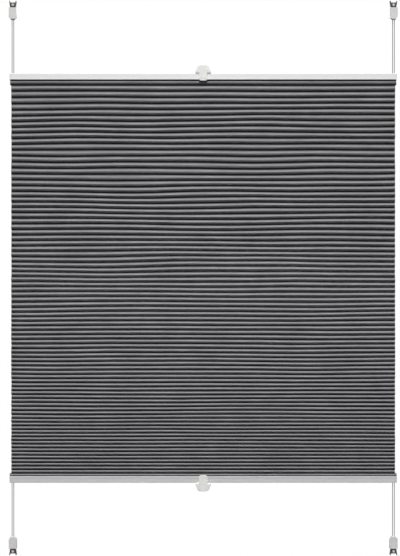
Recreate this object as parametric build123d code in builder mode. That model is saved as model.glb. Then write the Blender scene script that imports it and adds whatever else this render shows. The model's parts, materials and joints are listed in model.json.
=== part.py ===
# A pleated honeycomb blind that hangs on two tensioned cord loops between four window clamps.
#
# Frame: millimetres, X along the width, +Y towards the window, +Z up. The origin is in the middle
# of the blind, in the plane of the sash face that the four clamps are pressed against.
# Heights called "out" are measured away from the middle, so one number serves the top and the
# bottom of the blind, and a rail's own heights start at its fabric side.

from build123d import *
import os
from math import sqrt

os.makedirs("parts", exist_ok=True)

# The whole blind
overall_height = 1300.0  # from clamp end to clamp end
fabric_width = 900.0
rail_gap = 930.0  # between the rails' fabric sides
hang = 13.0  # from the sash face to the plane of the cords
cord_x = 446.5  # from the middle of the blind to the middle of each cord pair

# Clearances
slip = 0.1  # between plastic pieces that are pushed together
thread_play = 0.05  # radial, between a screw and its hole
cord_play = 0.25  # round a cord
soft_gap = 0.2  # between the fabric and the strip it hangs from

# Cords
cord_r = 0.8
strand_x = 2.0  # from the middle of a pair to each strand

# Fabric
cell_count = 83
cell_leg = 10.2  # the width of each of a cell's four slanting walls
cell_flat = 3.0  # the glued stripe between two cells
cloth = 0.3
top_pitch = 13.9  # the cells hang wider open at the top, before they are fitted to the gap
bottom_pitch = 8.3

# Rails
rail_height = 15.0
rail_depth = 22.0  # over the bead along the fabric side
rail_waist = 20.4  # just past the bead
rail_back = 17.6  # at the outer side
bead_height = 3.0
bead_slope = 0.6
rail_wall = 1.2
lip = 1.2  # the two lips that the fabric strip rests on
strip_room = 2.8  # height of the strip channel
strip_half = 8.8
mouth_half = 6.5  # half the opening between the lips
rail_round = 1.6

# Pieces in and on the rails
strip_thickness = 1.4
cap_thickness = 4.0
prong_length = 14.0
prong_inner = 5.2
prong_outer = 7.4
guide_length = 15.8
guide_wall = 0.4  # between a strand's hole and the guide's outer end
guide_half = 5.0
boss_half = 1.6
boss_wall = 0.6  # between a strand's hole and the boss's inner end
run_y = 3.2  # the two crossing cord runs lie this far to each side
run_depth = 7.0  # how far a run goes into its guide
spring_r = 2.6
spring_wire = 0.7
spring_pitch = 2.2
spring_length = 30.8
knot_r = 1.75

# Handles
handle_plate = 20.0
handle_plate_depth = 3.0
handle_width = 36.0
handle_rise = 20.0  # past the rail's outer side
handle_drop = 2.6  # past the rail's fabric side
knob_depth = 8.0
wing_gap = 1.2

# Clamps
clamp_height = 44.4
clamp_width = 18.4
clamp_depth = 24.0
nose_rise = 6.0
nose_step = 3.2
shoe_proud = 2.0  # how far the tension shoe stands out of the nose
shoe_width = 11.0
shoe_depth = 14.8
shoe_height = 24.4
peg_out = 16.4  # from the shoe's end to its peg
housing_height = 26.8
arm_thickness = 2.2
arm_reach = 8.0  # the arm over the sash edge ends this far past the sash face
channel_floor = 1.8
channel_base = 12.6
channel_top = 17.2
channel_wall = 1.7
channel_setback = 1.6
seat_thickness = 2.0
seat_height = 9.8
screw_r = 2.0
screw_out = 6.2  # the screw's axis above the arm
head_r = 3.1
head_length = 2.5
socket_size = 2.5  # across the flats of the hexagon
socket_depth = 1.8
collar_r = 2.9
collar_thickness = 0.9
screw_length = 28.5
nut_width = 8.8
nut_thickness = 5.0
nut_height = 6.8
nut_y = -2.0  # the middle of the nut from the sash face, as the clamp hangs open
strap = 1.8  # thickness of the steel jaw
strap_width = 8.6
strap_front = -5.5
mouth = 20.0  # between the two pads, as the clamp hangs open
jaw_width = 14.0
jaw_drop = 18.3  # below the arm's underside
pad_thickness = 1.5
pad_height = 16.0
pad_width = 13.0
sash_pad = 1.0
sash_pad_height = 20.0
sash_pad_width = 16.0

# Derived places
rail_in = rail_gap / 2
rail_length = fabric_width
clamp_out = overall_height / 2
nose_out = clamp_out - clamp_height
housing_in = nose_out + shoe_proud
arm_in = nose_out + housing_height
arm_out = arm_in + arm_thickness
channel_height = clamp_out - arm_out
body_front = -sash_pad - clamp_depth
body_middle = -sash_pad - clamp_depth / 2
channel_front = body_front + channel_setback
floor_out = arm_out + channel_floor
screw_at = arm_out + screw_out
seat_front = channel_front + head_length
seat_back = seat_front + seat_thickness
strap_in = floor_out + slip
strap_out = strap_in + strap
jaw_front = mouth + pad_thickness
peg_at = nose_out + peg_out
peg_r = strand_x - cord_r - cord_play
strand_room = strand_x + cord_r + cord_play
web_in = lip + strip_room
web_out = web_in + rail_wall
ceiling = rail_height - rail_wall
run_out = (web_out + ceiling) / 2
guide_in = cord_x + strand_room + guide_wall - guide_length
run_end = guide_in + run_depth
boss_in = cord_x - strand_room - boss_wall


def save(piece, name):
    """Labels a finished piece and writes it to its own file."""
    piece.label = name
    export_step(piece, f"parts/{name}.step")


def rail_planes(side, x=0.0):
    """A rail's cross-section plane at x and its front plane; local up points out of the blind."""
    section = Plane(origin=(x, -hang, side * rail_in), x_dir=(0, 1, 0), z_dir=(side, 0, 0))
    front = Plane(origin=(x, -hang, side * rail_in), x_dir=(side, 0, 0), z_dir=(0, -1, 0))
    return section, front


def clamp_planes(side_x, side_z):
    """A clamp's level, flank and front planes; local up points out of the blind."""
    origin = (side_x * cord_x, 0, 0)
    level = Plane(origin=origin, x_dir=(side_z, 0, 0), z_dir=(0, 0, side_z))
    flank = Plane(origin=origin, x_dir=(0, 1, 0), z_dir=(side_z, 0, 0))
    front = Plane(origin=origin, x_dir=(side_z, 0, 0), z_dir=(0, -1, 0))
    return level, flank, front


def outward(side):
    """The axis that points out of the blind at the top or at the bottom."""
    return Axis((0, 0, 0), (0, 0, side))


def rail_half(out):
    """Half the rail's depth at a height past the bead."""
    slope_start = bead_height + bead_slope
    share = (out - slope_start) / (rail_height - slope_start)
    return (rail_waist + (rail_back - rail_waist) * share) / 2


def rail_outline():
    """The corners of the rail's section: a bead along the fabric side, then faces that lean in."""
    half = [
        (rail_depth / 2, 0),
        (rail_depth / 2, bead_height),
        (rail_waist / 2, bead_height + bead_slope),
        (rail_back / 2, rail_height),
    ]
    return half + [(-y, out) for y, out in reversed(half)]


def make_rail(side, name):
    """The extruded profile: a cord chamber, and below it a channel that holds the fabric strip."""
    section, _ = rail_planes(side, -side * rail_length / 2)
    with BuildPart() as rail:
        with BuildSketch(section) as profile:
            with BuildLine():
                Polyline(*rail_outline(), close=True)
            make_face()
            fillet(profile.vertices().group_by(Axis.Y)[-1], radius=rail_round)
            fillet(profile.vertices().group_by(Axis.Y)[0], radius=rail_round / 2)
            with BuildLine():
                Polyline(
                    (-rail_half(web_out) + rail_wall, web_out),
                    (rail_half(web_out) - rail_wall, web_out),
                    (rail_half(ceiling) - rail_wall, ceiling),
                    (-rail_half(ceiling) + rail_wall, ceiling),
                    close=True,
                )
            make_face(mode=Mode.SUBTRACT)
            with Locations((0, lip + strip_room / 2)):
                Rectangle(2 * strip_half + 2 * slip, strip_room, mode=Mode.SUBTRACT)
            Rectangle(2 * mouth_half, 2 * lip, mode=Mode.SUBTRACT)
        extrude(amount=rail_length)
        # A notch at each end lets the cord guide's bosses through the web and the outer wall.
        notch = rail_length / 2 - boss_in + slip
        with BuildSketch(Plane.XY.offset(side * (rail_in + lip + strip_room / 2))):
            with Locations(*[(e * (rail_length - notch) / 2, -hang) for e in (-1, 1)]):
                Rectangle(notch, 2 * (boss_half + slip))
        extrude(amount=side * rail_height, mode=Mode.SUBTRACT)
    save(rail.part, name)


def make_strip(side, name):
    """The plastic strip inside the last pleat, resting on the rail's two lips."""
    section, _ = rail_planes(side, -side * (rail_length / 2 - slip))
    with BuildPart() as strip:
        with BuildSketch(section):
            with Locations((0, lip + strip_thickness / 2)):
                Rectangle(2 * strip_half, strip_thickness)
        extrude(amount=rail_length - 2 * slip)
        with BuildSketch(Plane.XY.offset(side * rail_in)):
            with Locations((-cord_x, -hang), (cord_x, -hang)):
                SlotOverall(2 * strand_room, 2 * (cord_r + cord_play))
        extrude(amount=side * rail_height, mode=Mode.SUBTRACT)
    save(strip.part, name)


def make_cap(side, end, name):
    """The plastic cap over a rail's end, held by two prongs beside the cord guide."""
    section, _ = rail_planes(side, end * rail_length / 2)
    direction = end * side
    with BuildPart() as cap:
        with BuildSketch(section) as outline:
            with BuildLine():
                Polyline(*rail_outline(), close=True)
            make_face()
            fillet(outline.vertices().group_by(Axis.Y)[-1], radius=rail_round)
            fillet(outline.vertices().group_by(Axis.Y)[0], radius=rail_round / 2)
        extrude(amount=direction * cap_thickness)
        far_face = cap.faces().sort_by(Axis.X)[-1 if end > 0 else 0]
        fillet(far_face.edges(), radius=cap_thickness / 4)
        with BuildSketch(section):
            for y in (-1, 1):
                with Locations((y * (prong_inner + prong_outer) / 2, run_out)):
                    Rectangle(prong_outer - prong_inner, ceiling - web_out - 8 * slip)
        extrude(amount=-direction * prong_length)
    save(cap.part, name)


def make_guide(side, end, name):
    """The guide that two strands run through, with blind holes for the two crossing runs."""
    section, _ = rail_planes(side, end * guide_in)
    with BuildPart() as guide:
        with BuildSketch(section):
            with Locations((0, run_out)):
                Rectangle(2 * guide_half, ceiling - web_out)
        extrude(amount=end * side * guide_length)
        # The boss fills the rail's notches, above and below the chamber.
        boss_end = guide_in + guide_length - slip
        with BuildSketch(Plane.XY.offset(side * (rail_in + web_in))):
            with Locations((end * (boss_in + boss_end) / 2, -hang)):
                Rectangle(boss_end - boss_in, 2 * boss_half)
        extrude(amount=side * (rail_height + 2 * slip - web_in))
        with BuildSketch(Plane.XY.offset(side * rail_in)):
            with Locations(*[(end * cord_x + s * strand_x, -hang) for s in (-1, 1)]):
                Circle(cord_r + cord_play)
        extrude(amount=side * 2 * rail_height, mode=Mode.SUBTRACT)
        with BuildSketch(section):
            with Locations((-run_y, run_out), (run_y, run_out)):
                Circle(cord_r + cord_play)
        extrude(amount=end * side * run_depth, mode=Mode.SUBTRACT)
    save(guide.part, name)


def make_top_run(y, name):
    """A cord run that crosses the top rail from guide to guide."""
    section, _ = rail_planes(1, -run_end)
    with BuildPart() as run:
        with BuildSketch(section):
            with Locations((y, run_out)):
                Circle(cord_r)
        extrude(amount=2 * run_end)
    save(run.part, name)


def make_bottom_run(y, name):
    """The same run in the bottom rail, in two halves that are knotted into a spring's ends."""
    level = -rail_in - run_out
    knot_end = spring_length / 2 - 2 * knot_r
    with BuildPart() as run:
        for end in (-1, 1):
            start = Plane(origin=(end * knot_end, y - hang, level), z_dir=(end, 0, 0))
            with BuildSketch(start):
                Circle(cord_r)
            extrude(amount=run_end - knot_end)
            with BuildSketch(start):
                Circle(knot_r)
            extrude(amount=2 * knot_r)
    save(run.part, name)


def make_spring(y, name):
    """A tension spring in line with a crossing run."""
    coil_r = spring_r - spring_wire / 2
    first_end = (-spring_length / 2, y - hang, -rail_in - run_out)
    with BuildPart() as spring:
        with BuildLine() as coil:
            Helix(spring_pitch, spring_length, coil_r, center=first_end, direction=(1, 0, 0))
        with BuildSketch(coil.line ^ 0):
            Circle(spring_wire / 2)
        sweep()
    save(spring.part, name)


def make_handle(side, name):
    """The clip-on handle: a plate over the rail's face and a winged knob past its outer side."""
    _, front = rail_planes(side)
    face = rail_depth / 2
    knob_front = face + handle_plate_depth / 2
    tip = rail_height + handle_rise
    with BuildPart() as handle:
        with BuildSketch(front.offset(knob_front)) as wings:
            with BuildLine():
                Polyline(
                    (-handle_width / 2, rail_height + wing_gap),
                    (-handle_width / 2, rail_height + handle_rise / 4),
                    (-handle_width / 3.3, tip),
                    (handle_width / 3.3, tip),
                    (handle_width / 2, rail_height + handle_rise / 4),
                    (handle_width / 2, rail_height + wing_gap),
                    close=True,
                )
            make_face()
            fillet(wings.vertices().sort_by(Axis.Y)[2:], radius=handle_width / 5)
        extrude(amount=-knob_depth)
        fillet(handle.faces().sort_by(Axis.Y)[0].edges(), radius=knob_depth / 5)
        # The foot that stands on the rail between the wings.
        with BuildSketch(front.offset(knob_front - handle_plate_depth / 2)):
            with Locations((0, rail_height + handle_rise / 4)):
                Rectangle(handle_plate, handle_rise / 2)
        extrude(amount=-(knob_depth - handle_plate_depth))
    with BuildPart() as plate:
        with BuildSketch(front.offset(face)) as tongue:
            with Locations((0, (tip - handle_drop) / 2)):
                Rectangle(handle_plate, tip + handle_drop)
            fillet(tongue.vertices(), radius=handle_plate / 4)
        extrude(amount=handle_plate_depth)
        brow = plate.faces().sort_by(Axis.Y)[0].edges()
        fillet(brow, radius=handle_plate_depth / 3)
        # The hook under the bead.
        with BuildSketch(front.offset(face)):
            with Locations((0, -handle_drop / 2 - slip)):
                Rectangle(handle_plate / 2, handle_drop - 2 * slip)
        extrude(amount=-handle_plate_depth / 2)
        # Two small windows over the hook.
        with BuildSketch(front.offset(face + handle_plate_depth)):
            with Locations(*[(s * handle_plate / 4, lip + slip) for s in (-1, 1)]):
                Rectangle(handle_plate / 5, lip)
        extrude(amount=-handle_plate_depth / 2, mode=Mode.SUBTRACT)
    with BuildPart() as clip:
        add(handle.part)
        add(plate.part)
    save(clip.part, name)


def cell_levels():
    """The heights of the glued stripes, from the top strip to the bottom one."""
    height = rail_gap + 2 * (lip - soft_gap)
    widths = []
    for i in range(cell_count):
        t = (i + 0.5) / cell_count
        ease = t * t * (3 - 2 * t)
        widths.append(top_pitch + (bottom_pitch - top_pitch) * ease)
    fitted = height / sum(widths)
    levels = [height / 2]
    for width in widths:
        levels.append(levels[-1] - width * fitted)
    return levels


def make_fabric(name):
    """The honeycomb: six-sided cells glued in a column, as deep as their height leaves them."""
    levels = cell_levels()
    cells = list(zip(levels[:-1], levels[1:]))
    flat = cell_flat / 2
    side = []
    holes = []
    for top, bottom in cells:
        middle = (top + bottom) / 2
        rise = (top - bottom) / 2
        reach = sqrt(cell_leg**2 - rise**2)
        side += [(flat, top), (flat + reach, middle)]
        inner_flat = flat - cloth * (cell_leg - reach) / rise
        inner_tip = flat + reach - cloth * cell_leg / rise
        holes.append([
            (inner_flat, top - cloth),
            (inner_tip, middle),
            (inner_flat, bottom + cloth),
            (-inner_flat, bottom + cloth),
            (-inner_tip, middle),
            (-inner_flat, top - cloth),
        ])
    side.append((flat, levels[-1]))
    other_side = [(-y, z) for y, z in reversed(side)]
    section = Plane(origin=(-fabric_width / 2, -hang, 0), x_dir=(0, 1, 0), z_dir=(1, 0, 0))
    with BuildPart() as fabric:
        with BuildSketch(section):
            with BuildLine():
                Polyline(*side, *other_side, close=True)
            make_face()
            with BuildSketch(mode=Mode.SUBTRACT):
                for hole in holes:
                    with BuildLine():
                        Polyline(*hole, close=True)
                    make_face()
        extrude(amount=fabric_width)
        # The slots that the strands go through.
        with BuildSketch(Plane.XY.offset(-rail_gap)):
            with Locations((-cord_x, -hang), (cord_x, -hang)):
                Rectangle(2 * strand_room, 2 * (cord_r + cord_play))
        extrude(amount=2 * rail_gap, mode=Mode.SUBTRACT)
    save(fabric.part, name)


def make_cord(side_x, name):
    """A cord loop: two taut strands that go round the pegs of the top and bottom tension shoes."""
    middle = side_x * cord_x
    with BuildPart() as cord:
        with BuildSketch(Plane.XY.offset(-peg_at)):
            with Locations((middle - strand_x, -hang), (middle + strand_x, -hang)):
                Circle(cord_r)
        extrude(amount=2 * peg_at)
        for end in (-1, 1):
            with BuildSketch(Plane.XY.offset(end * peg_at)):
                with Locations((middle + strand_x, -hang)):
                    Circle(cord_r)
            peg_axis = Axis((middle, -hang, end * peg_at), (0, -end, 0))
            revolve(axis=peg_axis, revolution_arc=180)
    save(cord.part, name)


def make_clamp(side_x, side_z, place):
    """All the pieces of one window clamp."""
    level, flank, front = clamp_planes(side_x, side_z)
    out = outward(side_z)

    with BuildPart() as body:
        with BuildSketch(flank):
            with BuildLine():
                Polyline(
                    (body_front, housing_in),
                    (-sash_pad, housing_in),
                    (-sash_pad, arm_in),
                    (arm_reach, arm_in),
                    (arm_reach, arm_out),
                    (body_front, arm_out),
                    close=True,
                )
            make_face()
        extrude(amount=clamp_width / 2, both=True)
        nose = body.edges().filter_by(Axis.Y).group_by(out)[0]
        chamfer(nose, length=nose_rise, length2=nose_step)
        corners = body.edges().filter_by(out).group_by(Axis.Y)[0]
        fillet(corners, radius=nose_step / 2)
        with BuildSketch(level.offset(housing_in)):
            with Locations((0, body_middle)):
                Rectangle(shoe_width + 2 * slip, shoe_depth + 2 * slip)
        extrude(amount=shoe_height - shoe_proud, mode=Mode.SUBTRACT)
    save(body.part, f"{place}_clamp_body")

    with BuildPart() as shoe:
        with BuildSketch(level.offset(nose_out)):
            with Locations((0, body_middle)):
                Rectangle(shoe_width, shoe_depth)
        extrude(amount=shoe_height)
        chamfer(shoe.faces().sort_by(out)[0].edges(), length=shoe_proud / 2)
        with BuildSketch(level.offset(nose_out)):
            with Locations((0, -hang)):
                Rectangle(2 * strand_room, 2 * (cord_r + cord_play))
        extrude(amount=peg_out + strand_room, mode=Mode.SUBTRACT)
        with BuildSketch(front.offset(-body_middle - shoe_depth / 4)):
            with Locations((0, peg_at)):
                Circle(peg_r)
        extrude(amount=shoe_depth / 2)
    save(shoe.part, f"{place}_tension_shoe")

    with BuildPart() as channel:
        with BuildSketch(front.offset(-channel_front)):
            with BuildLine():
                Polyline(
                    (-channel_base / 2, arm_out),
                    (channel_base / 2, arm_out),
                    (channel_top / 2, clamp_out),
                    (channel_top / 2 - channel_wall, clamp_out),
                    (channel_base / 2 - channel_wall, floor_out),
                    (-channel_base / 2 + channel_wall, floor_out),
                    (-channel_top / 2 + channel_wall, clamp_out),
                    (-channel_top / 2, clamp_out),
                    close=True,
                )
            make_face()
        extrude(amount=channel_front - arm_reach)
        rims = channel.edges().filter_by(Axis.Y).group_by(out)[-1]
        fillet(rims, radius=channel_wall / 3)
    save(channel.part, f"{place}_clamp_channel")

    inner_base = channel_base / 2 - channel_wall
    inner_top = channel_top / 2 - channel_wall
    lean = (inner_top - inner_base) / (clamp_out - floor_out)
    seat_top = inner_base + lean * seat_height
    with BuildPart() as seat:
        with BuildSketch(front.offset(-seat_front)):
            with BuildLine():
                Polyline(
                    (-inner_base + slip, floor_out),
                    (inner_base - slip, floor_out),
                    (seat_top - slip, floor_out + seat_height),
                    (-seat_top + slip, floor_out + seat_height),
                    close=True,
                )
            make_face()
            with Locations((0, screw_at)):
                Circle(screw_r + thread_play, mode=Mode.SUBTRACT)
        extrude(amount=-seat_thickness)
    save(seat.part, f"{place}_screw_seat")

    with BuildPart() as screw:
        with BuildSketch(front.offset(-seat_front + slip / 2)):
            with Locations((0, screw_at)):
                Circle(head_r)
        extrude(amount=head_length - slip / 2)
        chamfer(screw.edges().sort_by(Axis.Y)[0], length=head_length / 8)
        with BuildSketch(front.offset(-seat_front + slip / 2)):
            with Locations((0, screw_at)):
                Circle(screw_r)
        extrude(amount=-screw_length)
        chamfer(screw.edges().sort_by(Axis.Y)[-1], length=screw_r / 4)
        with BuildSketch(front.offset(-seat_back - slip / 2)):
            with Locations((0, screw_at)):
                Circle(collar_r)
        extrude(amount=-collar_thickness)
        with BuildSketch(front.offset(-channel_front)):
            with Locations((0, screw_at)):
                RegularPolygon(socket_size / 2, 6, major_radius=False)
        extrude(amount=-socket_depth, mode=Mode.SUBTRACT)
    save(screw.part, f"{place}_clamp_screw")

    with BuildPart() as nut:
        with BuildSketch(front.offset(-nut_y + nut_thickness / 2)):
            with Locations((0, strap_out + nut_height / 2)):
                RectangleRounded(nut_width, nut_height, radius=strap / 3)
            with Locations((0, screw_at)):
                Circle(screw_r + thread_play, mode=Mode.SUBTRACT)
        extrude(amount=-nut_thickness)
    save(nut.part, f"{place}_jaw_nut")

    with BuildPart() as jaw:
        with BuildSketch(level.offset(strap_in)):
            with Locations((0, (strap_front + jaw_front + strap) / 2)):
                Rectangle(strap_width, jaw_front + strap - strap_front)
        extrude(amount=strap)
        with BuildSketch(front.offset(-jaw_front)) as plate:
            with Locations((0, (strap_out + arm_in - jaw_drop) / 2)):
                Rectangle(jaw_width, strap_out - arm_in + jaw_drop)
            fillet(plate.vertices(), radius=strap)
        extrude(amount=-strap)
    save(jaw.part, f"{place}_clamp_jaw")

    with BuildPart() as jaw_pad:
        with BuildSketch(front.offset(-mouth)):
            with Locations((0, arm_in - jaw_drop + pad_height / 2 + strap / 2)):
                RectangleRounded(pad_width, pad_height, radius=strap)
        extrude(amount=-pad_thickness)
    save(jaw_pad.part, f"{place}_jaw_pad")

    with BuildPart() as pad:
        with BuildSketch(front):
            with Locations((0, arm_in - sash_pad_height / 2 - sash_pad)):
                RectangleRounded(sash_pad_width, sash_pad_height, radius=strap)
        extrude(amount=sash_pad)
    save(pad.part, f"{place}_sash_pad")


for side, place in ((1, "top"), (-1, "bottom")):
    make_rail(side, f"{place}_rail")
    make_strip(side, f"{place}_fabric_strip")
    make_handle(side, f"{place}_handle")
    for end, hand in ((-1, "left"), (1, "right")):
        make_cap(side, end, f"{place}_{hand}_end_cap")
        make_guide(side, end, f"{place}_{hand}_cord_guide")
        make_clamp(end, side, f"{place}_{hand}")

for y, row in ((-run_y, "front"), (run_y, "rear")):
    make_top_run(y, f"top_{row}_crossing_cord")
    make_bottom_run(y, f"bottom_{row}_crossing_cord")
    make_spring(y, f"{row}_tension_spring")

for end, hand in ((-1, "left"), (1, "right")):
    make_cord(end, f"{hand}_cord")

make_fabric("honeycomb_fabric")
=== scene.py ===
# %% [markdown]
# # A tensioned honeycomb blind
#
# The blind hangs between four window clamps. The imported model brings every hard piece: rails,
# caps, handles, clamps, screws and cords. What is left for Blender is the cloth, the finishes
# and the light. Everything is in metres, X along the width, +Y towards the window, +Z up.

# %% Load the frame
import json
from math import pi, radians
import bpy
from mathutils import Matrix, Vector


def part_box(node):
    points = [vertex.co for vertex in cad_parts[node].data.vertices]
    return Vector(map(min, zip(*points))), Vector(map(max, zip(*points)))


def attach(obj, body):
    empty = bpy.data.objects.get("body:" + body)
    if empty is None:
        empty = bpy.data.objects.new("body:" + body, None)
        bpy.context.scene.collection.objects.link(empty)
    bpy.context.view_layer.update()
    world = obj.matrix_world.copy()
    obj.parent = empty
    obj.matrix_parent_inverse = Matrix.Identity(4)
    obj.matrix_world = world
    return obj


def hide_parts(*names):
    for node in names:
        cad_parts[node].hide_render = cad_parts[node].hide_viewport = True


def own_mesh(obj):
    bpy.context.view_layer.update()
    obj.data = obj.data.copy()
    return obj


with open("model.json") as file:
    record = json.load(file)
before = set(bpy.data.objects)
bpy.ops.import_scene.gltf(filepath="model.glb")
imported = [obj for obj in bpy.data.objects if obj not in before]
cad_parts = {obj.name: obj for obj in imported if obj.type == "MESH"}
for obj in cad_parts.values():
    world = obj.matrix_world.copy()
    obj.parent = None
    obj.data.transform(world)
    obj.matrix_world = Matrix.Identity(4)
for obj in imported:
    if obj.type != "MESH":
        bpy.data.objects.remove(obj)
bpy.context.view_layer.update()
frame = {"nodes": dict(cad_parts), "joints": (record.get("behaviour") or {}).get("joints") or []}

# %% [markdown]
# ## Reading sizes from the frame
#
# A piece goes where the frame says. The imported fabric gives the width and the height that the
# cloth has to fill, and the cords give the two slots that are punched in it.

# %% Sizes
cloth_low, cloth_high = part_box("honeycomb_fabric")
cord_low, cord_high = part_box("right_cord")
rail_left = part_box("top_left_end_cap")[0][0]
clamp_front_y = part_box("top_left_clamp_body")[0][1]

cloth_top = cloth_high[2]
cloth_height = cloth_top - cloth_low[2]
cloth_half_width = (cloth_high[0] - cloth_low[0]) / 2
cloth_middle_y = (cloth_high[1] + cloth_low[1]) / 2
rail_half_width = -rail_left
cord_x = (cord_low[0] + cord_high[0]) / 2
print("cloth", round(2 * cloth_half_width, 3), "by", round(cloth_height, 3))

# %% [markdown]
# ## Writing node maths as expressions
#
# A pleat's shape and a weave are both sums. Wired by hand they become a maze of Math nodes, so
# one small class wraps a socket, and `a * 2 + b` adds the nodes itself. It serves shader trees
# and geometry trees alike.

# %% The expression class
class Expr:
    """A number socket that understands + - * / and a few functions."""

    def __init__(self, tree, socket):
        self.tree = tree
        self.socket = socket

    def math(self, operation, *others):
        node = self.tree.nodes.new("ShaderNodeMath")
        node.operation = operation
        for slot, value in zip(node.inputs, (self, *others)):
            connect(self.tree, value, slot)
        return Expr(self.tree, node.outputs[0])

    def __add__(self, other):
        return self.math("ADD", other)

    def __radd__(self, other):
        return self.math("ADD", other)

    def __mul__(self, other):
        return self.math("MULTIPLY", other)

    def __rmul__(self, other):
        return self.math("MULTIPLY", other)

    def __sub__(self, other):
        return self.math("SUBTRACT", other)

    def __truediv__(self, other):
        return self.math("DIVIDE", other)

    def __rsub__(self, other):
        return (self * -1).math("ADD", other)

    def __lt__(self, other):
        return self.math("LESS_THAN", other)

    def __gt__(self, other):
        return self.math("GREATER_THAN", other)

    def clamped(self):
        return self.math("MAXIMUM", 0).math("MINIMUM", 1)


def connect(tree, value, slot):
    """Links an expression or a socket into a slot, or sets the slot's own number."""
    if isinstance(value, Expr):
        value = value.socket
    if isinstance(value, bpy.types.NodeSocket):
        tree.links.new(value, slot)
    else:
        slot.default_value = value


class Tree:
    """Adds nodes to a tree: settings first, then the values or links of the sockets."""

    def __init__(self, tree):
        self.tree = tree

    def node(self, kind, settings=None, **sockets):
        node = self.tree.nodes.new(kind)
        for name, value in (settings or {}).items():
            setattr(node, name, value)
        for name, value in sockets.items():
            connect(self.tree, value, node.inputs[name.replace("_", " ")])
        return node

    def number(self, socket):
        return Expr(self.tree, socket)


print("expressions ready")

# %% [markdown]
# ## A base for every finish
#
# Each material starts the same way: one Principled shader whose constants sit on its own
# sockets, and object coordinates that stay put when the blind moves. Only the colour, the
# roughness, the metal share and the bump vary over a surface.

# %% The base of a material
def finish(name, color, roughness, metallic=0.0, **constants):
    """A new material; returns it with its tree helper, its shader and its coordinates."""
    material = bpy.data.materials.new(name)
    material.use_nodes = True
    tree = Tree(material.node_tree)
    shader = material.node_tree.nodes["Principled BSDF"]
    shader.inputs["Base Color"].default_value = (*color, 1)
    shader.inputs["Roughness"].default_value = roughness
    shader.inputs["Metallic"].default_value = metallic
    for socket, value in constants.items():
        shader.inputs[socket.replace("_", " ")].default_value = value
    material.diffuse_color = (*color, 1)
    place = tree.node("ShaderNodeTexCoord").outputs["Object"]
    return material, tree, shader, place


def noise(tree, place, scale, detail=3.0, stretch=(1, 1, 1)):
    """A noise value on object coordinates, stretched along an axis where that is asked."""
    mapping = tree.node("ShaderNodeMapping", Vector=place, Scale=stretch)
    texture = tree.node("ShaderNodeTexNoise", Vector=mapping.outputs[0], Scale=scale, Detail=detail)
    return tree.number(texture.outputs[0])


def tint(tree, shader, share, low, high):
    """Base Color runs from low to high with share."""
    mix = tree.node("ShaderNodeMix", {"data_type": "RGBA"})
    connect(tree.tree, share, mix.inputs[0])
    mix.inputs[6].default_value = (*low, 1)
    mix.inputs[7].default_value = (*high, 1)
    connect(tree.tree, mix.outputs[2], shader.inputs["Base Color"])


def relief(tree, shader, height, distance):
    """A Bump node: height in shares of distance, which is in metres."""
    bump = tree.node("ShaderNodeBump", Strength=1.0, Distance=distance, Height=height)
    connect(tree.tree, bump.outputs[0], shader.inputs["Normal"])


print("finish base ready")

# %% [markdown]
# ## Coated aluminium and moulded plastic
#
# The rails are extruded aluminium with a white powder coat, which is never quite flat: a fine
# orange peel breaks up its gloss, and faint lines run along the extrusion. The moulded plastic
# of caps, housings and guides is smoother, with a soft flow mark here and there.

# %% White finishes
def powder_coat():
    material, tree, shader, place = finish("white_powder_coat", (0.82, 0.82, 0.82), 0.36)
    peel = noise(tree, place, scale=900, detail=2)
    lines = noise(tree, place, scale=700, detail=2, stretch=(0.01, 1, 1))
    tint(tree, shader, lines, (0.78, 0.78, 0.785), (0.85, 0.85, 0.85))
    connect(tree.tree, peel * 0.12 + 0.30, shader.inputs["Roughness"])
    relief(tree, shader, peel * 0.7 + lines * 0.5, distance=0.00006)
    return material


def moulded_plastic(name, low, high, roughness):
    material, tree, shader, place = finish(name, high, roughness)
    flow = noise(tree, place, scale=60, detail=2)
    grain = noise(tree, place, scale=2500, detail=2)
    tint(tree, shader, flow, low, high)
    connect(tree.tree, flow * 0.08 + roughness, shader.inputs["Roughness"])
    relief(tree, shader, grain * 0.5 + flow * 0.5, distance=0.00003)
    return material


white_coat = powder_coat()
white_plastic = moulded_plastic(
    "white_housing_plastic", (0.74, 0.735, 0.73), (0.83, 0.83, 0.83), 0.28
)
handle_plastic = moulded_plastic(
    "warm_white_plastic", (0.92, 0.915, 0.89), (0.97, 0.965, 0.945), 0.25
)
strip_plastic = moulded_plastic("strip_plastic", (0.7, 0.7, 0.7), (0.78, 0.78, 0.78), 0.45)
print("white finishes", white_coat.name, white_plastic.name, handle_plastic.name)

# %% [markdown]
# ## Black plastic, rubber and steel
#
# The channel over the sash edge is spark-eroded black plastic: a fine even grain that keeps it
# matt. The pads are soft rubber with a dusty bloom. The jaw and the seat are blackened steel,
# brushed along their length, and the screw is bright zinc.

# %% Dark and metal finishes
def grained_black(name, color, roughness, grain_scale, depth):
    material, tree, shader, place = finish(name, color, roughness)
    grain = noise(tree, place, scale=grain_scale, detail=3)
    bloom = noise(tree, place, scale=120, detail=2)
    tint(tree, shader, bloom, color, tuple(c * 2.2 for c in color))
    connect(tree.tree, bloom * 0.15 + (roughness - 0.05), shader.inputs["Roughness"])
    relief(tree, shader, grain, distance=depth)
    return material


def brushed_metal(name, low, high, roughness, stretch):
    material, tree, shader, place = finish(name, high, roughness, metallic=1.0)
    strokes = noise(tree, place, scale=3000, detail=3, stretch=stretch)
    stain = noise(tree, place, scale=150, detail=3)
    tint(tree, shader, (strokes * 0.6 + stain * 0.4).clamped(), low, high)
    connect(tree.tree, strokes * 0.2 + roughness, shader.inputs["Roughness"])
    relief(tree, shader, strokes, distance=0.00003)
    return material


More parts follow.
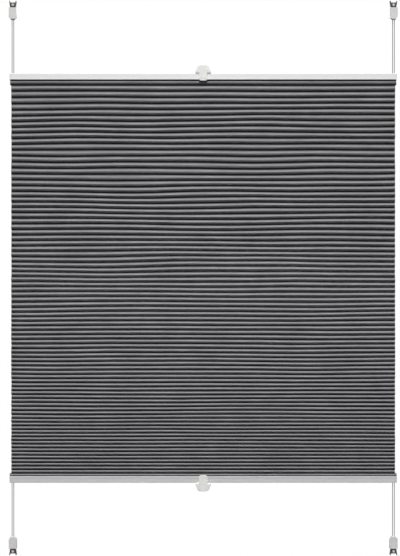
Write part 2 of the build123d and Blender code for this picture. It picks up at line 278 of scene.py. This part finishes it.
black_plastic = grained_black("black_grained_plastic", (0.008, 0.0075, 0.0075), 0.45, 1800, 0.00006)
pad_rubber = grained_black("soft_black_rubber", (0.015, 0.015, 0.015), 0.75, 900, 0.0001)
dark_steel = brushed_metal(
    "blackened_steel", (0.10, 0.085, 0.075), (0.22, 0.19, 0.17), 0.35, stretch=(1, 0.05, 1)
)
bright_zinc = brushed_metal(
    "bright_zinc", (0.75, 0.74, 0.72), (0.92, 0.91, 0.89), 0.18, stretch=(1, 0.1, 1)
)
print("dark finishes", black_plastic.name, dark_steel.name, bright_zinc.name)

# %% [markdown]
# ## Braided cord
#
# The tension cord is a braid a little over a millimetre and a half thick. Two diagonal waves,
# one leaning each way, cross into the diamonds of a braid; the same height paints shade into the gaps.

# %% Cord finish
braid_repeat = 0.0011


def braid(name, along, across):
    """A braid whose strands lean both ways; along and across name the axes of its length."""
    material, tree, shader, place = finish(name, (0.2, 0.2, 0.21), 0.7)
    axes = tree.node("ShaderNodeSeparateXYZ", Vector=place)
    length = tree.number(axes.outputs[along])
    side = tree.number(axes.outputs[across])
    turns = 2 * pi / braid_repeat
    one = (length * turns + side * turns).math("SINE")
    other = (length * turns - side * turns).math("SINE")
    strands = one.math("MAXIMUM", other) * 0.5 + 0.5
    # Painted shade: the gaps between the strands are coloured darker.
    tint(tree, shader, strands, (0.05, 0.05, 0.052), (0.17, 0.17, 0.175))
    relief(tree, shader, strands, distance=0.00012)
    return material


upright_cord = braid("grey_braid", "Z", "X")
crossing_cord = braid("grey_braid_across", "X", "Y")
print("cords", upright_cord.name, crossing_cord.name)

# %% [markdown]
# ## The cloth and its lining
#
# Blackout honeycomb cloth has two faces. Outside is a dark woven polyester: a plain weave of
# threads about a third of a millimetre apart, with slubs that run along a thread. Down in the
# grooves and tucks it is painted darker: painted shade. Inside is a bonded silver film that keeps
# the creases of every fold it has been through.

# %% Cloth finishes
thread = 0.00036
painted_shade_edge = 0.0044  # from the middle of the cloth, in y, as far as the painted groove shade is full
painted_shade_fade = 0.0024


def woven_cloth():
    material, tree, shader, place = finish(
        "dark_woven_cloth", (0.05, 0.048, 0.052), 0.82,
        Sheen_Weight=0.25, Sheen_Roughness=0.5, Specular_IOR_Level=0.3,
    )
    axes = tree.node("ShaderNodeSeparateXYZ", Vector=place)
    across = tree.number(axes.outputs["X"])
    down = tree.number(axes.outputs["Z"])
    warp = (across * (2 * pi / thread)).math("SINE")
    weft = (down * (2 * pi / thread)).math("SINE")
    weave = warp * weft * 0.5 + 0.5
    slub = noise(tree, place, scale=400, detail=3, stretch=(0.06, 1, 1))
    cloud = noise(tree, place, scale=14, detail=3)
    shade = weave * 0.35 + slub * 0.45 + cloud * 0.2
    from_middle = (tree.number(axes.outputs["Y"]) - cloth_middle_y).math("ABSOLUTE")
    # Painted shade: near the middle of the cloth in y, in the grooves and tucks, the colour runs to
    # its dark end.
    clear_of_painted_shade = ((from_middle - painted_shade_edge) / painted_shade_fade).clamped()
    tint(tree, shader, shade * clear_of_painted_shade, (0.020, 0.0195, 0.0205), (0.500, 0.488, 0.512))
    connect(tree.tree, 0.9 - slub * 0.15, shader.inputs["Roughness"])
    relief(tree, shader, weave * 0.6 + slub * 0.4, distance=0.00010)
    return material


def silver_film():
    material, tree, shader, place = finish("silver_film", (0.72, 0.72, 0.70), 0.28, metallic=1.0)
    creases = tree.node(
        "ShaderNodeTexVoronoi", {"feature": "DISTANCE_TO_EDGE"}, Vector=place, Scale=420.0
    )
    crease = (tree.number(creases.outputs["Distance"]) * 6).clamped()
    crinkle = noise(tree, place, scale=350, detail=4)
    # Painted shade: the crease lines are coloured darker, as well as raised in the bump.
    tint(tree, shader, crease, (0.42, 0.42, 0.40), (0.80, 0.80, 0.78))
    connect(tree.tree, crinkle * 0.25 + 0.15, shader.inputs["Roughness"])
    relief(tree, shader, crease * 0.5 + crinkle * 0.8, distance=0.0006)
    return material


cloth_finish = woven_cloth()
film_finish = silver_film()
print("cloth", cloth_finish.name, "lining", film_finish.name)

# %% [markdown]
# ## Dressing the hard pieces
#
# The shapes of the hard pieces are already right, so each only gets its finish. Which finish a
# node takes follows from the end of its name.

# %% Finishes by name
FINISHES = {
    "rail": white_coat,
    "end_cap": white_plastic,
    "cord_guide": white_plastic,
    "clamp_body": white_plastic,
    "tension_shoe": white_plastic,
    "handle": handle_plastic,
    "fabric_strip": strip_plastic,
    "clamp_channel": black_plastic,
    "sash_pad": pad_rubber,
    "jaw_pad": pad_rubber,
    "screw_seat": dark_steel,
    "clamp_jaw": dark_steel,
    "clamp_screw": bright_zinc,
    "jaw_nut": bright_zinc,
    "tension_spring": bright_zinc,
    "crossing_cord": crossing_cord,
    "left_cord": upright_cord,
    "right_cord": upright_cord,
    "honeycomb_fabric": cloth_finish,
}

for node_name, node in frame["nodes"].items():
    ending = next(e for e in FINISHES if node_name.endswith(e))
    node.data.materials.clear()
    node.data.materials.append(FINISHES[ending])
print("dressed", len(frame["nodes"]), "nodes")

# %% [markdown]
# ## The honeycomb as a rule
#
# A honeycomb is one rule repeated: a six-sided tube, glued to the next along a stripe. Modelling
# eighty-odd tubes by hand would hide the rule, so Geometry Nodes make them from one flat grid.
# Each row of the grid knows its cell and its place round the cell, and each column its place
# across the width. The pleats hang wider open at the top, because the lower ones weigh on them,
# and a pleat's depth follows from its height, since the cloth between two folds can't stretch.

# %% Measures of the honeycomb
cell_count = 83
cell_leg = 0.0102  # the width of each of a cell's four walls
tucked_leg = 0.0039  # the part of it that lies tucked under the next cell
glue_stripe = 0.0030
cloth_gauge = 0.00030
glue_gap = cloth_gauge * 0.56  # keeps two glued walls from lying in one place

# Shares of the height: of an open pleat, of a closed one, and of the tuck in half a pleat.
open_share = 13.9
closed_share = 8.3
mean_share = (open_share + closed_share) / 2
tuck_share = 0.25

# How far glue lines wander, how uneven the cut edges are, and how far a wall bellies out.
wander_height = 0.016
wander_seed = 3.7
wander_along = 2.2
wander_down = 0.11
wander_fades = 0.88
ragged_edge = 0.0009
hash_turn = 12.9898
hash_gain = 43.758
wall_belly = 0.00055
fold_belly = 0.00025

# Two places on a wall between glue and fold: shares of its depth, and of its height from the fold.
wall_depth = 0.45
wall_rise = 0.52
fold_depth = 0.86
fold_rise = 0.10

# The grid, and the slots in it.
ring_points = 24
columns = 24
slot_half = 0.0011
slot_reach = 0.0031
slot_inner = cord_x - slot_reach
slot_outer = cord_x + slot_reach
edge_inset = 0.0006  # the end pleats stop about this short of the end caps' outer faces
weld_reach = 0.00001

# %% The tree's inputs
def honeycomb_tree():
    tree = bpy.data.node_groups.new("honeycomb", "GeometryNodeTree")
    tree.interface.new_socket("Geometry", in_out="OUTPUT", socket_type="NodeSocketGeometry")
    for name, value in (
        ("Cells", cell_count),
        ("Top", cloth_top),
        ("Height", cloth_height),
        ("Half Width", cloth_half_width),
        ("Leg", cell_leg),
        ("Stripe", glue_stripe),
        ("Wave", wander_height),
        ("Flare", rail_half_width - cloth_half_width - edge_inset),
    ):
        socket = tree.interface.new_socket(name, in_out="INPUT", socket_type="NodeSocketFloat")
        socket.default_value = value
    return tree


honeycomb = honeycomb_tree()
print("inputs", [item.name for item in honeycomb.interface.items_tree])

# %% Rows, columns and the shape of a cell
def follow(along, *values):
    """Straight runs through values at along = 0, 1, 2 and so on."""
    result = values[0]
    for index, (before, after) in enumerate(zip(values, values[1:])):
        result = (along - index).clamped() * (after - before) + result
    return result


def grow_honeycomb(group):
    tree = Tree(group)
    given = tree.node("NodeGroupInput")
    value = {s.name: tree.number(s) for s in given.outputs if s.name}
    rows = cell_count * (ring_points + 1)
    grid = tree.node(
        "GeometryNodeMeshGrid",
        Size_X=float(columns - 1), Size_Y=float(rows - 1), Vertices_X=columns, Vertices_Y=rows,
    )
    position = tree.node("GeometryNodeInputPosition").outputs[0]
    spot = tree.node("ShaderNodeSeparateXYZ", Vector=position)
    column = (tree.number(spot.outputs[0]) + (columns - 1) / 2 + 0.01).math("FLOOR")
    row = tree.number(spot.outputs[1]) + (rows - 1) / 2
    cell = ((row + 0.01) / (ring_points + 1)).math("FLOOR")
    step = row - cell * (ring_points + 1)

    # Faces that would join one cell's ring to the next are left out.
    whole = tree.node(
        "GeometryNodeDeleteGeometry", {"domain": "FACE"},
        Geometry=grid.outputs[0], Selection=(step > (ring_points + 0.2)).socket,
    )

    # The slots lie between the second and third columns from each edge; the inner ones are even.
    half = value["Half Width"]
    even = (column - 2) / (columns - 5) * (2 * slot_inner) - slot_inner
    from_left = column < 1.5
    from_right = column > (columns - 2.5)
    outermost = (column < 0.5) + (column > (columns - 1.5))
    edge = slot_outer + outermost * (half - slot_outer)
    flat_x = even * (1 - from_left - from_right) + edge * (from_right - from_left)

    # The width of a pleat eases from open to closed; its sum gives each glue line's height.
    # The glue lines wander a little where the pleats hang open, and not at all at the rails.
    def level(index):
        t = index / value["Cells"]
        eased = t * t * t - t * t * t * t * 0.5
        way_down = (t * open_share + eased * (closed_share - open_share)) / mean_share
        along = tree.node(
            "ShaderNodeCombineXYZ",
            X=flat_x * wander_along, Y=index * wander_down, Z=wander_seed,
        )
        waves = tree.node("ShaderNodeTexNoise", Vector=along.outputs[0], Scale=1.3, Detail=1.0)
        hold = (t * 12).math("MINIMUM", 1) * ((1 - t) * 10).math("MINIMUM", 1)
        wander = (tree.number(waves.outputs[0]) - 0.5) * value["Wave"] * hold * (1 - t * wander_fades)
        return value["Top"] - value["Height"] * way_down + wander

    upper = level(cell)
    lower = level(cell + 1)
    rise = (upper - lower) * 0.5

    # A wall leaves the glue almost level, tucked under its neighbour, then turns to the fold.
    tuck_rise = rise * tuck_share
    face_rise = rise * (1 - tuck_share)
    face_leg = value["Leg"] - tucked_leg
    tuck = (tucked_leg * tucked_leg - tuck_rise * tuck_rise).math("SQRT")
    reach = (face_leg * face_leg - face_rise * face_rise).math("MAXIMUM", 0.000001).math("SQRT")

    # Round the ring: 0 is the middle of the upper stripe, 6 the back fold, 18 the front fold.
    swing = (step + ring_points / 4).math("PINGPONG", ring_points / 2) - ring_points / 4
    far = swing.math("ABSOLUTE")
    facing = swing.math("SIGN")
    stripe = value["Stripe"] * 0.5
    mouth = stripe + tuck
    depth = follow(
        far, 0, slot_half, stripe, mouth, mouth + reach * wall_depth + wall_belly,
        mouth + reach * fold_depth + fold_belly, mouth + reach,
    )
    face_share = 1 - tuck_share
    share = follow(far, 1, 1, 1, face_share, face_share * wall_rise, face_share * fold_rise, 0)
    above = (step.math("PINGPONG", ring_points / 2) < (ring_points / 4 + 0.5)) * 2 - 1
    y = facing * depth + cloth_middle_y
    z = (upper + lower) * 0.5 + above * share * (rise - glue_gap)

    # The first and last pleats are spread to the rails' ends, and no pleat is cut quite alike.
    end_cell = (cell < 0.5) + (cell > (value["Cells"] - 1.5))
    ragged = (cell * hash_turn).math("SINE") * hash_gain
    ragged = (ragged - ragged.math("FLOOR") - 0.5) * ragged_edge
    x = flat_x * (1 + (end_cell * value["Flare"] + ragged) / half)

    place = tree.node("ShaderNodeCombineXYZ", X=x, Y=y, Z=z)
    shaped = tree.node(
        "GeometryNodeSetPosition", Geometry=whole.outputs[0], Position=place.outputs[0]
    )
    return tree, shaped


builder, shaped_cells = grow_honeycomb(honeycomb)
print("nodes in the tree", len(honeycomb.nodes))

# %% [markdown]
# ## Punching the slots and closing the rings
#
# Each ring starts and ends at the same place, so a weld closes it. The cords run down through
# every glue stripe, where a slot is punched; those faces are picked by where they lie.

# %% Slots, weld and output
def close_honeycomb(tree, shaped):
    position = tree.node("GeometryNodeInputPosition").outputs[0]
    spot = tree.node("ShaderNodeSeparateXYZ", Vector=position)
    x = tree.number(spot.outputs[0]).math("ABSOLUTE")
    y = (tree.number(spot.outputs[1]) - cloth_middle_y).math("ABSOLUTE")
    in_slot = (x > slot_inner) * (x < slot_outer) * (y < slot_half)
    punched = tree.node(
        "GeometryNodeDeleteGeometry", {"domain": "FACE"},
        Geometry=shaped.outputs[0], Selection=in_slot.socket,
    )
    welded = tree.node("GeometryNodeMergeByDistance", Geometry=punched.outputs[0], Distance=weld_reach)
    dressed = tree.node(
        "GeometryNodeSetMaterial", Geometry=welded.outputs[0], Material=cloth_finish
    )
    out = tree.node("NodeGroupOutput")
    tree.tree.links.new(dressed.outputs[0], out.inputs[0])


close_honeycomb(builder, shaped_cells)
print("honeycomb tree closed")

# %% From nodes to cloth
def plain_copy(carrier, name):
    """The evaluated result of an object's modifiers as a new object with none."""
    seen = carrier.evaluated_get(bpy.context.evaluated_depsgraph_get())
    mesh = bpy.data.meshes.new_from_object(seen)
    result = bpy.data.objects.new(name, mesh)
    bpy.context.collection.objects.link(result)
    bpy.data.objects.remove(carrier)
    return result


def make_cloth():
    carrier = bpy.data.objects.new("honeycomb_carrier", bpy.data.meshes.new("carrier"))
    bpy.context.collection.objects.link(carrier)
    grown = carrier.modifiers.new("grow", "NODES")
    grown.node_group = honeycomb
    inputs = {i.name: i.identifier for i in honeycomb.interface.items_tree if i.in_out == "INPUT"}
    grown[inputs["Cells"]] = float(cell_count)
    grown[inputs["Leg"]] = cell_leg
    skin = plain_copy(carrier, "honeycomb_skin")
    skin.data.materials.append(film_finish)
    wall = skin.modifiers.new("wall", "SOLIDIFY")
    wall.thickness = cloth_gauge
    wall.offset = 0
    wall.material_offset = 1
    cloth = plain_copy(skin, "pleated_cloth")
    cloth.data.set_sharp_from_angle(angle=radians(30))
    return cloth


cloth = make_cloth()
cloth_points = [v.co for v in cloth.data.vertices]
print("cloth faces", len(cloth.data.polygons), "spans",
      [round(min(p[k] for p in cloth_points), 4) for k in range(3)],
      [round(max(p[k] for p in cloth_points), 4) for k in range(3)])

# %% [markdown]
# ## Hanging the cloth
#
# The cloth hangs from the top rail and folds up as the bottom rail rises. Here it is only hung
# from the top rail; the bottom rail's travel gives the share of the height the closed stack keeps.

# %% Cloth on the top rail
fold_joint = next(j for j in frame["joints"] if j["name"] == "bottom_rail_slide")
fold_travel = fold_joint["range_m"][1]
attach(cloth, "top_rail")
1 - fold_travel / cloth_height
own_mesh(cloth)
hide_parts("honeycomb_fabric")
print("stack keeps", round(1 - fold_travel / cloth_height, 3), "of the height")

# %% [markdown]
# ## Floor, light and camera
#
# The blind is shown flat on, as in a catalogue. A pale floor lies well below it. A soft light
# hangs high in front, so that each pleat is bright on its upper wall and dark on its lower one,
# and a broad light stands behind for the side towards the window.

# %% Floor
def make_floor():
    half_width = 1.7
    front_y = -1.3
    back_y = 1.9
    floor_z = -1.90
    mesh = bpy.data.meshes.new("floor")
    corners = [
        (-half_width, front_y, floor_z), (half_width, front_y, floor_z),
        (half_width, back_y, floor_z), (-half_width, back_y, floor_z),
    ]
    mesh.from_pydata(corners, [], [(0, 1, 2, 3)])
    floor = bpy.data.objects.new("floor", mesh)
    bpy.context.collection.objects.link(floor)
    material, tree, shader, place = finish("pale_floor", (0.85, 0.85, 0.85), 0.8)
    tint(tree, shader, noise(tree, place, scale=3, detail=2), (0.84, 0.84, 0.84), (0.88, 0.88, 0.88))
    mesh.materials.append(material)
    return floor


floor = make_floor()
print("floor at", floor.data.vertices[0].co.z)

# %% World
def make_world():
    """White to the camera, grey in reflections, and dim as a light, for the pleats' shade."""
    world = bpy.data.worlds.new("studio")
    bpy.context.scene.world = world
    world.use_nodes = True
    world.node_tree.nodes.clear()
    tree = Tree(world.node_tree)
    paths = tree.node("ShaderNodeLightPath")
    white = (1, 1, 1, 1)
    as_light = 0.06
    in_mirrors = 0.55
    mirrored = tree.number(paths.outputs["Is Glossy Ray"])
    seen = tree.node("ShaderNodeBackground", Color=white, Strength=1.0)
    lit = tree.node("ShaderNodeBackground", Color=white, Strength=mirrored * in_mirrors + as_light)
    mix = tree.node("ShaderNodeMixShader")
    connect(tree.tree, paths.outputs["Is Camera Ray"], mix.inputs[0])
    tree.tree.links.new(lit.outputs[0], mix.inputs[1])
    tree.tree.links.new(seen.outputs[0], mix.inputs[2])
    out = tree.node("ShaderNodeOutputWorld")
    tree.tree.links.new(mix.outputs[0], out.inputs[0])


make_world()
print("world ready")

# %% Lights
def area_light(name, place, aim, size, power, spread):
    light = bpy.data.lights.new(name, "AREA")
    light.shape = "RECTANGLE"
    light.size, light.size_y = size
    light.energy = power
    light.spread = radians(spread)
    lamp = bpy.data.objects.new(name, light)
    lamp.location = place
    lamp.rotation_euler = (Vector(aim) - Vector(place)).to_track_quat("-Z", "Y").to_euler()
    bpy.context.collection.objects.link(lamp)


blind_middle = (0, 0, 0)
area_light(
    "key_above", place=(0.0, -6.5, 8.5), aim=blind_middle, size=(1.8, 1.4), power=38, spread=30
)
area_light(
    "back_fill", place=(0.6, 2.6, 1.4), aim=blind_middle, size=(2.4, 1.4), power=45, spread=180
)

# %% Camera
def make_camera():
    data = bpy.data.cameras.new("front_camera")
    data.sensor_fit = "VERTICAL"
    data.sensor_height = 36.0
    data.lens = 250.0
    view_height = 1.3032
    view_right = -0.0075
    distance = view_height / (data.sensor_height / data.lens)
    camera = bpy.data.objects.new("front_camera", data)
    camera.location = (view_right, clamp_front_y - distance, 0)
    camera.rotation_euler = (pi / 2, 0, 0)
    data.clip_end = 60
    bpy.context.collection.objects.link(camera)
    bpy.context.scene.camera = camera


make_camera()
bpy.context.scene.view_settings.view_transform = "Standard"
print("camera at", [round(c, 3) for c in bpy.context.scene.camera.location])
